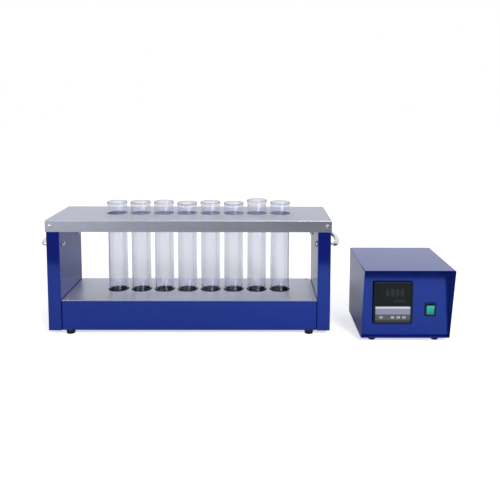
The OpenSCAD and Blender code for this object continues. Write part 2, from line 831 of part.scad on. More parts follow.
module meter_frame() {
  color(black) at_box() difference() {
    translate([meter_x, meter_y, meter_z]) round_panel(meter_w, meter_h, meter_t, 3);
    translate([meter_x - face_w / 2, meter_y - 1, face_z0]) cube([face_w, meter_recess + 1, face_z1 - face_z0]);
    key_places() rod_y(key_stem + 2 * key_gap, meter_t + 2);
  }
}

// Centres of the keys on the controller's front plane
module key_places() {
  for (x = key_x) translate([meter_x + x, meter_y, key_z]) children();
}

module meter_case() {
  color(black) at_box() difference() {
    translate([meter_x - case_w / 2, panel_y, meter_z - case_h / 2]) cube([case_w, meter_depth, case_h]);
    translate([meter_x - case_w / 2 + case_wall, panel_y - 1, meter_z - case_h / 2 + case_wall])
      cube([case_w - 2 * case_wall, meter_depth - case_wall, case_h - 2 * case_wall]);
    // Terminal pockets in the back
    for (x = [-1, 1], k = [-3 : 3])
      translate(meter_pin(x, k) - [5, 0, 3]) cube([10, 2, 6]);
  }
}

module meter_window() {
  color([0.03, 0.03, 0.04]) at_box() translate([meter_x - face_w / 2, meter_y + glass_step, window_z])
    cube([face_w, meter_recess - glass_step, window_h]);
}

// One seven-segment figure 8, its lower left corner at the origin, standing on y = 0
module figure(w, h, s) {
  for (z = [0, (h - s) / 2, h - s]) translate([s, -0.2, z]) cube([w - 2 * s, 0.2, s]);
  for (x = [0, w - s], z = [s, (h + s) / 2])
    translate([x, -0.2, z]) cube([s, 0.2, (h - 3 * s) / 2]);
}

// Two rows of figures and two lamps on the display
module meter_digits() {
  color([0.2, 0.21, 0.22]) at_box() translate([meter_x, meter_y + glass_step, window_z]) {
    for (i = [0 : 3]) translate([-16 + 10.6 * i, 0, 22]) figure(7.8, 17.5, 1.4);
    for (i = [0 : 3]) translate([3 + 6.2 * i, 0, 8]) figure(4.4, 8.6, 0.9);
    for (p = [[-22, 34], [-3, 15]]) translate([p[0], 0, p[1]]) rotate([90, 0, 0]) cylinder(d = 2.4, h = 0.2);
  }
}

module meter_fascia() {
  color([0.5, 0.51, 0.54]) at_box() difference() {
    translate([meter_x - face_w / 2, meter_y + glass_step, face_z0])
      cube([face_w, meter_recess - glass_step, window_z - face_z0]);
    key_places() translate([-key_w / 2 - key_gap, -1, -key_h / 2 - key_gap])
      cube([key_w + 2 * key_gap, meter_recess + 2, key_h + 2 * key_gap]);
  }
}

// The circuit board, with a push switch behind each key and the display module
module meter_board() {
  color([0.1, 0.35, 0.2]) at_box() {
    translate([meter_x - case_w / 2 + case_wall + fit, board_y, meter_z - case_h / 2 + case_wall + fit])
      cube([case_w - 2 * case_wall - 2 * fit, 1.6, case_h - 2 * case_wall - 2 * fit]);
    key_places() {
      translate([-3, meter_t + 0.2, -3]) cube([6, board_y - meter_y - meter_t - 0.2 + eps, 6]);
      translate([0, tact_y, 0]) rod_y(2.2, meter_t + 0.4 - tact_y);
    }
    translate([meter_x - 32, panel_y + 0.2, window_z + 4]) cube([64, board_y - panel_y - 0.2 + eps, window_h - 10]);
  }
}

// Side clips that hold the controller against the back of the panel
module meter_clamps() {
  color(bright) at_box() for (x = [-1, 1]) translate([meter_x, panel_in, meter_z]) mirror([x < 0 ? 1 : 0, 0, 0]) {
    translate([case_w / 2, 0, -clamp_h / 2]) cube([clamp_t, clamp_l, clamp_h]);
    translate([case_w / 2, 0, -clamp_h / 2]) cube([clamp_ear, clamp_t, clamp_h]);
  }
}

// A key cap in its window, with the stem that reaches the push switch
module key(i) {
  front = glass_step - key_out;
  back = meter_recess - key_travel - 0.2;
  color([0.22, 0.22, 0.25]) at_box() translate([meter_x + key_x[i], meter_y, key_z]) {
    translate([0, front, 0]) round_panel(key_w, key_h, back - front, 1.2);
    translate([0, back - eps, 0]) rod_y(key_stem, tact_y - key_travel - 0.1 - back);
  }
}

module switch_body() {
  color(black) at_box() difference() {
    translate([switch_x, panel_y, switch_z]) {
      translate([0, -switch_t, 0]) round_panel(switch_w, switch_h, switch_t, 1.5);
      translate([0, -eps, 0]) round_panel(switch_w - 2, switch_h - 2, switch_depth, 1);
      for (x = [-6, 6], z = [-7, 0, 7])
        translate([x - 2.4, switch_depth - eps, z - 0.4]) cube([4.8, 8, 0.8]);
    }
    translate([switch_x, rocker_y, switch_z]) {
      translate([-rocker_w / 2 - key_gap, -switch_t - 8, -rocker_swing])
        cube([rocker_w + 2 * key_gap, switch_t + 8 + rocker_half, 2 * rocker_swing]);
      translate([-rocker_w / 2 - key_gap - rocker_pin - 0.2, 0, 0])
        rod_x(rocker_pin_d + 2 * pivot_gap, rocker_w + 2 * key_gap + 2 * rocker_pin + 0.4);
    }
  }
}

// The rocker, with its lower half pressed in
module switch_rocker() {
  front = rocker_front - rocker_y;
  color([0.05, 0.6, 0.45]) at_box() translate([switch_x, rocker_y, switch_z]) rotate([rocker_tilt, 0, 0]) {
    translate([-rocker_w / 2, 0, 0]) rotate([90, 0, 90]) linear_extrude(rocker_w)
      polygon([[front - rocker_lift, -rocker_half], [front, 0], [front - rocker_lift, rocker_half],
               [2, rocker_half - 2.5], [rocker_half - 3.5, 2.5], [rocker_half - 3.5, -2.5], [2, -rocker_half + 2.5]]);
    translate([-rocker_w / 2 - key_gap - rocker_pin, 0, 0])
      rod_x(rocker_pin_d, rocker_w + 2 * key_gap + 2 * rocker_pin);
  }
}

module mains_inlet() {
  color(black) at_box() translate([inlet_px, rear_y, inlet_pz]) power_inlet();
}

module heater_outlet() {
  color(black) at_box() translate([outlet_px, rear_y, outlet_pz]) power_outlet();
}

module control_probe_socket() {
  color(bright) at_box() translate([jack_px, rear_y, jack_pz]) probe_socket(sheet_t);
}

// Screws of the three power sockets
module socket_screws() {
  color(bright) {
    at_heater() translate([inlet_x, base_back, inlet_z]) socket_screw_pair();
    at_box() translate([inlet_px, rear_y, inlet_pz]) socket_screw_pair();
    at_box() translate([outlet_px, rear_y, outlet_pz]) socket_screw_pair();
  }
}

module socket_screw_pair() {
  for (x = [-1, 1])
    translate([x * inlet_screw, inlet_flange[2], 0]) rotate([-90, 0, 0]) pan_screw(m3);
}

module relay() {
  color([0.8, 0.8, 0.78]) at_box() translate([relay_x, relay_y, relay_z]) difference() {
    cube(relay_size);
    for (y = [6, relay_size[1] - 6]) translate([relay_size[0] / 2, y, -1]) cylinder(d = m4[0] + 2 * fit, h = 40);
    for (x = [8, relay_size[0] - 8], y = [12, relay_size[1] - 12])
      translate([x, y, relay_size[2] - 4]) cylinder(d = 7, h = 6);
  }
}

module relay_heat_sink() {
  pitch = (sink[0] - fin_t) / (fin_count - 1);
  color(steel) at_box() translate([sink_x, sink_y, floor_z]) difference() {
    union() {
      translate([0, 0, sink[2] - sink_base]) cube([sink[0], sink[1], sink_base]);
      for (i = [0 : fin_count - 1]) translate([i * pitch, 0, 0]) cube([fin_t, sink[1], sink[2] - 1]);
    }
    relay_screw_places() translate([0, 0, -10]) cylinder(d = m4[0] + 2 * fit, h = 20);
  }
}

// On the heat sink's frame, at its top face
module relay_screw_places() {
  for (y = [6, relay_size[1] - 6])
    translate([relay_x - sink_x + relay_size[0] / 2, relay_y - sink_y + y, sink[2]]) children();
}

module relay_screws() {
  color(bright) at_box() translate([sink_x, sink_y, floor_z + relay_size[2]])
    relay_screw_places() pan_screw([m4[0], m4[1], m4[2], relay_size[2] + sink_base - 0.5]);
}

// Leads inside the control box
module control_leads() {
  body_y = rear_y - inlet_body_l;
  tag_y = panel_y + switch_depth + 8;
  back_y = rear_in - 24;
  relay_mid = relay_y + relay_size[1] / 2;
  low = floor_z + 6;
  // The leads turn behind the switch, however near the relay stands
  behind_switch = tag_y + lead_d;
  turn_y = max(sink_y - 20, behind_switch);
  fore_y = max(relay_y - 12, behind_switch);
  color([0.75, 0.2, 0.15]) at_box() {
    // Inlet to the switch, along the floor
    lead([[inlet_px + 6, body_y, inlet_pz], [inlet_px + 6, body_y - 10, inlet_pz],
          [inlet_px + 6, body_y - 10, low], [sink_x - 10, body_y - 10, low],
          [sink_x - 10, turn_y, low], [switch_x - 6, turn_y, low],
          [switch_x - 6, turn_y, switch_z - 7], [switch_x - 6, tag_y, switch_z - 7]]);
    // Switch to the relay
    lead([[switch_x + 6, tag_y, switch_z], [switch_x + 6, fore_y, switch_z],
          [switch_x + 6, fore_y, relay_z + 8], [switch_x + 6, relay_y, relay_z + 8]]);
    // Relay to the outlet
    lead([[outlet_px, relay_y + relay_size[1] - 18, relay_z + relay_size[2]],
          [outlet_px, relay_y + relay_size[1] - 18, outlet_pz], [outlet_px, body_y, outlet_pz]]);
    // Controller to the relay's input, to the inlet and to the probe socket
    lead([meter_pin(1, -2), [meter_pin(1, -2)[0], relay_mid, meter_pin(1, -2)[2]],
          [relay_x, relay_mid, meter_pin(1, -2)[2]]]);
    lead([[meter_pin(-1, -3)[0], body_y, meter_pin(-1, -3)[2]], meter_pin(-1, -3)]);
    lead([meter_pin(1, 2), [meter_pin(1, 2)[0], back_y, meter_pin(1, 2)[2]], [jack_px, back_y, meter_pin(1, 2)[2]],
          [jack_px, back_y, jack_pz], [jack_px, rear_y - jack_l, jack_pz]]);
  }
}

module control_feet() {
  color(black) at_box() box_foot_places() foot(box_foot_d, foot_h + sheet_t);
}

module control_foot_screws() {
  color(bright) at_box() box_foot_places() foot_screw();
}

base_tray();
top_plate();
top_plate_screws();
left_column();
right_column();
column_bolts();
tube_shelf();
shelf_screws();
left_handle();
right_handle();
handle_bolts();
heating_block();
heater_rods();
block_insulation();
block_posts();
temperature_probe();
terminal_block();
heater_leads();
heater_inlet();
heater_probe_socket();
heater_feet();
heater_foot_screws();
tube(0);  // tube_1
tube(1);  // tube_2
tube(2);  // tube_3
tube(3);  // tube_4
tube(4);  // tube_5
tube(5);  // tube_6
tube(6);  // tube_7
tube(7);  // tube_8
control_cover();
control_chassis();
cover_screws();
meter_frame();
meter_case();
meter_window();
meter_digits();
meter_fascia();
meter_board();
meter_clamps();
key(0);  // set_key
key(1);  // shift_key
key(2);  // down_key
key(3);  // up_key
switch_body();
switch_rocker();
mains_inlet();
heater_outlet();
control_probe_socket();
socket_screws();
relay();
relay_heat_sink();
relay_screws();
control_leads();
control_feet();
control_foot_screws();
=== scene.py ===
"""An eight-tube block digester: a heating unit under a tube shelf, with its temperature control box beside it."""

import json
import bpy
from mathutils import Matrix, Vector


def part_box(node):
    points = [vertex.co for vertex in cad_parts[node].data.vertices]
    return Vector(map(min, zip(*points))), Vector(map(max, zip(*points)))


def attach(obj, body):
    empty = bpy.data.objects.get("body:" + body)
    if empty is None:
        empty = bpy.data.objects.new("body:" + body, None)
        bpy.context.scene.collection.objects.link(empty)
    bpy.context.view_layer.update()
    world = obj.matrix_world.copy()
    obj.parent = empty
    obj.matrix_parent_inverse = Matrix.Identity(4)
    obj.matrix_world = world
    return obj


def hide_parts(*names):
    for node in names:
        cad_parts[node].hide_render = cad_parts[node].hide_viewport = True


bl_info = {
    "name": "Block digester",
    "version": (1, 0, 0),
    "blender": (4, 5, 0),
    "location": "3D View > Sidebar > Digester",
    "description": "Builds a block digester with glass tubes and its temperature control box",
    "category": "Object",
}

from math import atan2, cos, pi, radians, sin, sqrt

import bpy
from bpy.props import FloatProperty, FloatVectorProperty, IntProperty, PointerProperty
from mathutils import Vector

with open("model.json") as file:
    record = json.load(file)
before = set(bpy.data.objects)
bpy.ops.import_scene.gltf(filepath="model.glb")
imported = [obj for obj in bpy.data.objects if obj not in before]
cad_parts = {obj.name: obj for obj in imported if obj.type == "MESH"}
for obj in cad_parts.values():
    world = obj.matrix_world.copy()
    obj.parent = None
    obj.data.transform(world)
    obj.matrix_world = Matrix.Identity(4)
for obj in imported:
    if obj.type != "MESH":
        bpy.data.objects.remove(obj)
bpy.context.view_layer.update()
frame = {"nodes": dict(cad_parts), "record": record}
ROOT = "digester_set"
MM = 0.001
TUBES = [f"tube_{i}" for i in range(1, 9)]
SHELF_LOW, SHELF_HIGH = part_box("tube_shelf")
PLATE_LOW, PLATE_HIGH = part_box("top_plate")
UP = Vector((0, 0, 1))
KEYS = ["set_key", "shift_key", "down_key", "up_key"]
HOLE_IN_SHELF = 23.75 * MM
HOLE_IN_PLATE = 24 * MM
ROCKER_WIDTH = 16.8 * MM
KEY_CAP_DEPTH = 1.8 * MM  # clear of the back of its pocket when the key is pushed in
KEY_STEM_RADIUS = 1.5 * MM
KEY_STEM_CLEAR = 0.3 * MM
CAMERA_TURN = (1.4771959, -0.0031860, -0.0064009)
FINISHES = {}


# ---- selecting, placing and finishing pieces ----


def only(obj):
    """Selects this object alone."""
    bpy.ops.object.select_all(action="DESELECT")
    obj.select_set(True)
    bpy.context.view_layer.objects.active = obj


def added(name):
    """Names the primitive that was just added and puts its place into its mesh."""
    obj = bpy.context.object
    obj.name = obj.data.name = name
    only(obj)
    bpy.ops.object.transform_apply(location=True, rotation=True, scale=True)
    return obj


def block(name, low, high):
    """A box from its low corner to its high corner."""
    low, high = Vector(low), Vector(high)
    bpy.ops.object.select_all(action="DESELECT")
    bpy.ops.mesh.primitive_cube_add(size=1, location=(low + high) / 2, scale=high - low)
    return added(name)


def disc(name, radius, depth, place, axis="Z", sides=64):
    """A round bar with its middle at the place."""
    turn = {"X": (0, pi / 2, 0), "Y": (-pi / 2, 0, 0), "Z": (0, 0, 0)}[axis]
    bpy.ops.object.select_all(action="DESELECT")
    bpy.ops.mesh.primitive_cylinder_add(vertices=sides, radius=radius, depth=depth, location=place, rotation=turn)
    return added(name)


def edit(obj):
    """Opens the mesh with nothing selected."""
    only(obj)
    bpy.ops.object.mode_set(mode="EDIT")
    bpy.ops.mesh.select_all(action="DESELECT")
    bpy.ops.object.mode_set(mode="OBJECT")


def pick(obj, kind, test, mode):
    """Selects the faces or edges that pass the test, then opens the mesh."""
    edit(obj)
    for part in getattr(obj.data, kind):
        part.select = test(part)
    bpy.ops.object.mode_set(mode="EDIT")
    bpy.ops.mesh.select_mode(type=mode)


def pick_edges(obj, test):
    """Selects the edges whose two end points pass the test, then opens the mesh."""
    points = [v.co.copy() for v in obj.data.vertices]
    pick(obj, "edges", lambda e: test(points[e.vertices[0]], points[e.vertices[1]]), "EDGE")


def pick_faces(obj, test):
    """Selects the faces whose centre and normal pass the test, then opens the mesh."""
    pick(obj, "polygons", lambda f: test(f.center, f.normal), "FACE")


def close(obj):
    bpy.ops.object.mode_set(mode="OBJECT")
    return obj


def apply_modifier(obj, kind, **settings):
    """Adds a modifier, sets it and applies it."""
    modifier = obj.modifiers.new(kind.lower(), kind)
    for key, value in settings.items():
        setattr(modifier, key, value)
    only(obj)
    bpy.ops.object.modifier_apply(modifier=modifier.name)
    return obj


def soften(obj, width, segments=2, angle=35):
    """Rounds every edge that is sharper than the angle."""
    return apply_modifier(obj, "BEVEL", width=width, segments=segments, limit_method="ANGLE",
                          angle_limit=radians(angle), use_clamp_overlap=True)


def cut(obj, *cutters):
    """Cuts the cutters out of the object and removes them."""
    for cutter in cutters:
        apply_modifier(obj, "BOOLEAN", operation="DIFFERENCE", object=cutter, solver="EXACT")
        bpy.data.objects.remove(cutter)
    return obj


def tidy(obj):
    """Merges doubled points and turns every face outwards."""
    only(obj)
    bpy.ops.object.mode_set(mode="EDIT")
    bpy.ops.mesh.select_all(action="SELECT")
    bpy.ops.mesh.remove_doubles(threshold=1e-6)
    bpy.ops.mesh.normals_make_consistent(inside=False)
    return close(obj)


def smooth(obj, angle=35):
    only(obj)
    bpy.ops.object.shade_smooth_by_angle(angle=radians(angle))
    return obj


def smooth_flat(obj, angle=35):
    """Smooth shading that keeps the large faces flat beside their rounded edges."""
    smooth(obj, angle)
    return apply_modifier(obj, "WEIGHTED_NORMAL", keep_sharp=True, weight=100)


def point(name, where):
    """A new mesh, left open, that is a single selected point."""
    bpy.ops.object.select_all(action="DESELECT")
    bpy.ops.mesh.primitive_plane_add(size=MM)
    obj = added(name)
    bpy.ops.object.mode_set(mode="EDIT")
    bpy.ops.mesh.select_mode(type="VERT")
    bpy.ops.mesh.select_all(action="SELECT")
    bpy.ops.mesh.merge(type="CENTER")
    bpy.ops.transform.translate(value=where)
    return obj


def lathe(name, profile, steps=64):
    """Spins a profile of (radius, height) points about the upright axis through the origin."""
    obj = point(name, (profile[0][0], 0, profile[0][1]))
    for (r0, h0), (r1, h1) in zip(profile, profile[1:]):
        bpy.ops.mesh.extrude_region_move(TRANSFORM_OT_translate={"value": (r1 - r0, 0, h1 - h0)})
    bpy.ops.mesh.select_all(action="SELECT")
    bpy.ops.mesh.spin(steps=steps, angle=2 * pi, center=(0, 0, 0), axis=(0, 0, 1))
    close(obj)
    return tidy(obj)


def place(obj, where, direction=UP):
    """Turns the object's upright axis to the direction and moves it."""
    obj.rotation_mode = "QUATERNION"
    obj.rotation_quaternion = UP.rotation_difference(Vector(direction))
    obj.location = where
    only(obj)
    bpy.ops.object.transform_apply(location=True, rotation=True, scale=True)
    return obj


def copy_of(obj, name):
    twin = obj.copy()
    twin.data = obj.data.copy()
    twin.name = twin.data.name = name
    bpy.context.scene.collection.objects.link(twin)
    return twin


def keep(obj, material, body, slot, *nodes):
    """Gives a finished piece its material and its body and hides the nodes that it stands for; the slot argument is not
    used.
    """
    obj.data.materials.clear()
    obj.data.materials.append(material)
    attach(obj, body)
    if nodes:
        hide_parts(*nodes)
    return obj


def join(name, parts):
    bpy.ops.object.select_all(action="DESELECT")
    for part in parts:
        part.select_set(True)
    bpy.context.view_layer.objects.active = parts[0]
    if len(parts) > 1:
        bpy.ops.object.join()
    parts[0].name = parts[0].data.name = name
    return parts[0]


def prism(name, outline, depth):
    """Extrudes an outline of (y, z) points along X, half the depth to each side."""
    obj = point(name, (-depth / 2, *outline[0]))
    for (y0, z0), (y1, z1) in zip(outline, outline[1:]):
        bpy.ops.mesh.extrude_region_move(TRANSFORM_OT_translate={"value": (0, y1 - y0, z1 - z0)})
    bpy.ops.mesh.select_all(action="SELECT")
    bpy.ops.mesh.edge_face_add()
    bpy.ops.mesh.extrude_region_move(TRANSFORM_OT_translate={"value": (depth, 0, 0)})
    close(obj)
    return tidy(obj)


def solids(name):
    """The low and high corners of each separate solid in a node, from left to right and front to back."""
    node = frame["nodes"][name]
    keys = [tuple(round(c, 6) for c in node.matrix_world @ v.co) for v in node.data.vertices]
    owner = {key: key for key in keys}

    def root(key):
        while owner[key] != key:
            owner[key] = owner[owner[key]]
            key = owner[key]
        return key

    for face in node.data.polygons:
        first = root(keys[face.vertices[0]])
        for i in face.vertices[1:]:
            owner[root(keys[i])] = first
    groups = {}
    for key in owner:
        groups.setdefault(root(key), []).append(key)
    boxes = [(Vector(map(min, zip(*g))), Vector(map(max, zip(*g)))) for g in groups.values()]
    return sorted(boxes, key=lambda box: (round(box[0].x, 3), round(box[0].y, 3), box[0].z))


def arc(cx, cy, radius, start, end, steps):
    """Points on an arc in the profile's plane, angles in degrees."""
    return [(cx + radius * cos(radians(start + (end - start) * i / steps)),
             cy + radius * sin(radians(start + (end - start) * i / steps))) for i in range(steps + 1)]


# ---- materials ----


class Finish:
    """A node material with its Principled shader and helpers to add nodes."""

    def __init__(self, name, colour, roughness, metallic=0.0, **sockets):
        self.material = bpy.data.materials.get(name) or bpy.data.materials.new(name)
        self.material.use_nodes = True
        self.tree = self.material.node_tree
        self.tree.nodes.clear()
        self.output = self.tree.nodes.new("ShaderNodeOutputMaterial")
        self.shader = self.tree.nodes.new("ShaderNodeBsdfPrincipled")
        self.link(self.shader.outputs[0], self.output.inputs[0])
        self.shader.inputs["Base Color"].default_value = (*colour, 1)
        self.shader.inputs["Roughness"].default_value = roughness
        self.shader.inputs["Metallic"].default_value = metallic
        self.colour = colour
        self.material.diffuse_color = (*colour, 1)
        for key, value in sockets.items():
            self.shader.inputs[key.replace("_", " ")].default_value = value
        self.place = self.tree.nodes.new("ShaderNodeTexCoord").outputs["Object"]

    def link(self, a, b):
        self.tree.links.new(a, b)

    def stretched(self, scale):
        node = self.tree.nodes.new("ShaderNodeMapping")
        node.inputs["Scale"].default_value = scale
        self.link(self.place, node.inputs["Vector"])
        return node.outputs["Vector"]

    def noise(self, scale, detail=3.0, stretch=(1, 1, 1), rough=0.5):
        node = self.tree.nodes.new("ShaderNodeTexNoise")
        node.inputs["Scale"].default_value = scale
        node.inputs["Detail"].default_value = detail
        node.inputs["Roughness"].default_value = rough
        self.link(self.stretched(stretch), node.inputs["Vector"])
        return node.outputs["Fac"]

    def spread(self, value, low, high, start=0.3, end=0.7):
        """Maps a pattern's middle range to the range from low to high."""
        node = self.tree.nodes.new("ShaderNodeMapRange")
        for key, number in zip(("From Min", "From Max", "To Min", "To Max"), (start, end, low, high)):
            node.inputs[key].default_value = number
        self.link(value, node.inputs["Value"])
        return node.outputs["Result"]

    def tint(self, value, first, second):
        """Colours a pattern from the first colour to the second."""
        node = self.tree.nodes.new("ShaderNodeMix")
        node.data_type = "RGBA"
        node.inputs["A"].default_value = (*first, 1)
        node.inputs["B"].default_value = (*second, 1)
        self.link(value, node.inputs["Factor"])
        self.link(node.outputs["Result"], self.shader.inputs["Base Color"])
        return self

    def vary(self, value, low, high):
        """Varies the roughness with a pattern."""
        self.link(self.spread(value, low, high), self.shader.inputs["Roughness"])
        return self

    def bump(self, value, strength, depth):
        node = self.tree.nodes.new("ShaderNodeBump")
        node.inputs["Strength"].default_value = strength
        node.inputs["Distance"].default_value = depth
        self.link(value, node.inputs["Height"])
        self.link(node.outputs["Normal"], self.shader.inputs["Normal"])
        return self


def times(colour, factor):
    return tuple(min(c * factor, 1.0) for c in colour)


def painted(name, colour):
    """Glossy blue enamel on folded sheet, with a faint orange peel."""
    f = Finish(name, colour, 0.12, Specular_IOR_Level=1.0, IOR=1.8, Coat_Weight=0.35, Coat_Roughness=0.04)
    f.shader.inputs["Specular Tint"].default_value = (0.04, 0.21, 1.0, 1)
    f.tint(f.spread(f.noise(9, 4), 0, 1), times(colour, 0.93), times(colour, 1.07))
    f.vary(f.noise(40, 3), 0.10, 0.15)
    return f.bump(f.noise(420, 2), 0.05, 0.0002).material


def brushed(name, colour, along=(0.02, 1, 1), roughness=0.38):
    """Stainless sheet with fine grain lines."""
    f = Finish(name, colour, roughness, 1.0, Anisotropic=0.4)
    grain = f.noise(2600, 4, along, 0.6)
    f.tint(f.spread(f.noise(14, 5), 0, 1), times(colour, 0.95), times(colour, 1.04))
    f.vary(grain, roughness * 0.85, roughness * 1.2)
    return f.bump(grain, 0.05, 0.00003).material


def plated(name, colour, roughness):
    f = Finish(name, colour, roughness, 1.0)
    f.vary(f.noise(300, 3), roughness * 0.8, roughness * 1.3)
    return f.material


def moulded(name, colour, roughness, grain=900, strength=0.06, shine=0.5):
    """Moulded plastic or rubber with a fine grain."""
    f = Finish(name, colour, roughness, Specular_IOR_Level=shine)
    f.tint(f.spread(f.noise(60, 3), 0, 1), times(colour, 0.92), times(colour, 1.08))
    f.vary(f.noise(grain * 0.4, 2), roughness * 0.9, roughness * 1.12)
    return f.bump(f.noise(grain, 2), strength, 0.0001).material


def green_with_painted_highlight(colour):
    """Clear green plastic with a painted highlight: brighter towards the top and in painted shade towards the bottom,
    with fine ribs inside
    """
    f = Finish("green_rocker", colour, 0.15)
    low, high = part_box("switch_rocker")
    height = f.tree.nodes.new("ShaderNodeSeparateXYZ")
    f.link(f.place, height.inputs[0])
    mixed = f.tree.nodes.new("ShaderNodeMath")
    mixed.operation = "MULTIPLY"
    f.link(f.spread(height.outputs["Z"], 0.12, 1, low.z, high.z), mixed.inputs[0])
    f.link(f.spread(f.noise(900, 1, (1, 1, 0.1)), 0.75, 1), mixed.inputs[1])
    # Painted highlight and painted shade: the colour runs from a third of the rocker's colour at the bottom to 1.7
    # times it at the top
    f.tint(mixed.outputs[0], times(colour, 0.35), times(colour, 1.7))
    return f.bump(f.noise(500, 2), 0.03, 0.0001).material


def make_finishes(c):
    """Every material of the set, by slot name."""
    glass = Finish("clear_glass", tuple(c.glass), 0.05, Transmission_Weight=1.0, IOR=1.47)
    glass.bump(glass.noise(70, 2, (1, 1, 0.02)), 0.03, 0.0004)
    film = Finish("fascia_film", (0.3, 0.3, 0.34), 0.35, Specular_IOR_Level=0.2)
    height = film.tree.nodes.new("ShaderNodeSeparateXYZ")
    film.link(film.place, height.inputs[0])
    low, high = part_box("meter_fascia")
    ramp = film.tree.nodes.new("ShaderNodeValToRGB")
    ramp.color_ramp.interpolation = "CONSTANT"
    bands = [(0.0, (0.045, 0.047, 0.062)), (0.17, (0.095, 0.10, 0.10)), (0.51, (0.25, 0.26, 0.35)),
             (0.87, (0.56, 0.57, 0.68))]
    for i, (at, colour) in enumerate(bands):
        stop = ramp.color_ramp.elements[i] if i < 2 else ramp.color_ramp.elements.new(at)
        stop.position = at
        stop.color = (*colour, 1)
    film.link(film.spread(height.outputs["Z"], 0, 1, low.z, high.z), ramp.inputs["Fac"])
    film.link(ramp.outputs["Color"], film.shader.inputs["Base Color"])
    film.bump(film.noise(1200, 2), 0.03, 0.0001)
    fibre = Finish("fibre_board", (0.80, 0.78, 0.70), 0.85)
    fibre.tint(fibre.spread(fibre.noise(500, 5), 0, 1), (0.72, 0.69, 0.60), (0.86, 0.84, 0.78))
    fibre.bump(fibre.noise(700, 5), 0.5, 0.0004)
    return {
        "blue_paint": painted("blue_enamel", tuple(c.paint)),
        "stainless": brushed("brushed_stainless", tuple(c.stainless)),
        "chrome": plated("bright_chrome", (0.62, 0.62, 0.65), 0.1),
        "zinc_steel": plated("plated_steel", (0.62, 0.62, 0.64), 0.25),
        "black_block": moulded("black_anodised", (0.006, 0.006, 0.007), 0.4, 700, shine=0.15),
        "sheath_steel": plated("drawn_steel", (0.50, 0.50, 0.52), 0.3),
        "glass": glass.material,
        "rubber": moulded("black_rubber", (0.007, 0.007, 0.008), 0.6, 1500, 0.15, 0.25),
        "fibre_board": fibre.material,
        "ceramic": moulded("glazed_ceramic", (0.86, 0.84, 0.78), 0.2, 300, 0.02),
        "lead_sleeve": moulded("silicone_sleeve", (0.42, 0.05, 0.03), 0.45, 800),
        "black_plastic": moulded("black_plastic", tuple(c.plastic), 0.35, shine=0.2),
        "display_window": moulded("smoked_window", (0.010, 0.014, 0.014), 0.12, 200, 0.01, 0.08),
        "display_segments": moulded("unlit_segments", (0.026, 0.030, 0.030), 0.3, 400, 0.02, 0.08),
        "grey_fascia": film.material,
        "grey_key": moulded("grey_key", (0.34, 0.35, 0.38), 0.45, 1200),
        "circuit_board": moulded("green_board", (0.02, 0.16, 0.06), 0.35, 500),
        "green_rocker": green_with_painted_highlight(tuple(c.rocker)),
        "relay_shell": moulded("relay_shell", (0.74, 0.74, 0.70), 0.35, 700),
        "heat_sink": brushed("extruded_aluminium", (0.68, 0.69, 0.71), (1, 0.02, 1), 0.35),
    }


# ---- sizes and colours that a user would change ----


class DigesterSizes(bpy.types.PropertyGroup):
    tube_wall: FloatProperty(name="Tube wall", description="Thickness of the glass", default=2 * MM,
                             min=0.5 * MM, max=4 * MM, unit="LENGTH")
    bead_out: FloatProperty(name="Bead", description="How far the band at a tube's mouth stands out",
                            default=1.1 * MM, min=0, max=3 * MM, unit="LENGTH")
    bead_height: FloatProperty(name="Bead height", description="Height of the band at a tube's mouth",
                               default=8 * MM, min=2 * MM, max=20 * MM, unit="LENGTH")
    sheet: FloatProperty(name="Sheet", description="Thickness of the folded sheet metal", default=1.2 * MM,
                         min=0.5 * MM, max=3 * MM, unit="LENGTH")
    fold: FloatProperty(name="Fold", description="Outer radius of the folds in the blue sheet", default=2.5 * MM,
                        min=1 * MM, max=3 * MM, unit="LENGTH")
    shelf_fold: FloatProperty(name="Shelf fold", description="Outer radius of the shelf's folds", default=3 * MM,
                              min=1 * MM, max=3 * MM, unit="LENGTH")
    visor: FloatProperty(name="Visor", description="How far the cover's top reaches out past its bottom edge",
                         default=29.5 * MM, min=0, max=60 * MM, unit="LENGTH")
    handle_rod: FloatProperty(name="Handle rod", description="Diameter of the handles", default=10 * MM,
                              min=6 * MM, max=14 * MM, unit="LENGTH")
    handle_leg: FloatProperty(name="Handle leg", description="Reach of a handle at its legs", default=13 * MM,
                              min=10 * MM, max=30 * MM, unit="LENGTH")
    handle_bend: FloatProperty(name="Handle bend", description="Radius of the bend at the end of each leg",
                               default=7 * MM, min=5.5 * MM, max=9 * MM, unit="LENGTH")
    rocker_tilt: FloatProperty(name="Rocker tilt", description="How far the switch's lower half is pressed in",
                               default=radians(9), min=0, max=radians(15), subtype="ANGLE")
    steps: IntProperty(name="Round steps", description="Sides of a round piece", default=64, min=24, max=128)


class DigesterColours(bpy.types.PropertyGroup):
    paint: FloatVectorProperty(name="Paint", description="Enamel of the cases", subtype="COLOR", size=3,
                               min=0, max=1, default=(0.0055, 0.008, 0.145))
    stainless: FloatVectorProperty(name="Stainless", description="Shelf and top plate", subtype="COLOR", size=3,
                                   min=0, max=1, default=(0.43, 0.445, 0.53))
    glass: FloatVectorProperty(name="Glass", description="Tint of the tubes", subtype="COLOR", size=3,
                               min=0, max=1, default=(0.935, 0.945, 1.0))
    plastic: FloatVectorProperty(name="Plastic", description="Frames of the controller and switch", subtype="COLOR",
                                 size=3, min=0, max=1, default=(0.006, 0.008, 0.014))
    rocker: FloatVectorProperty(name="Rocker", description="The switch's rocker", subtype="COLOR", size=3,
                                min=0, max=1, default=(0.012, 0.34, 0.27))
    floor: FloatVectorProperty(name="Floor", description="The bench under the set", subtype="COLOR", size=3,
                               min=0, max=1, default=(0.92, 0.92, 0.92))


# ---- operators ----


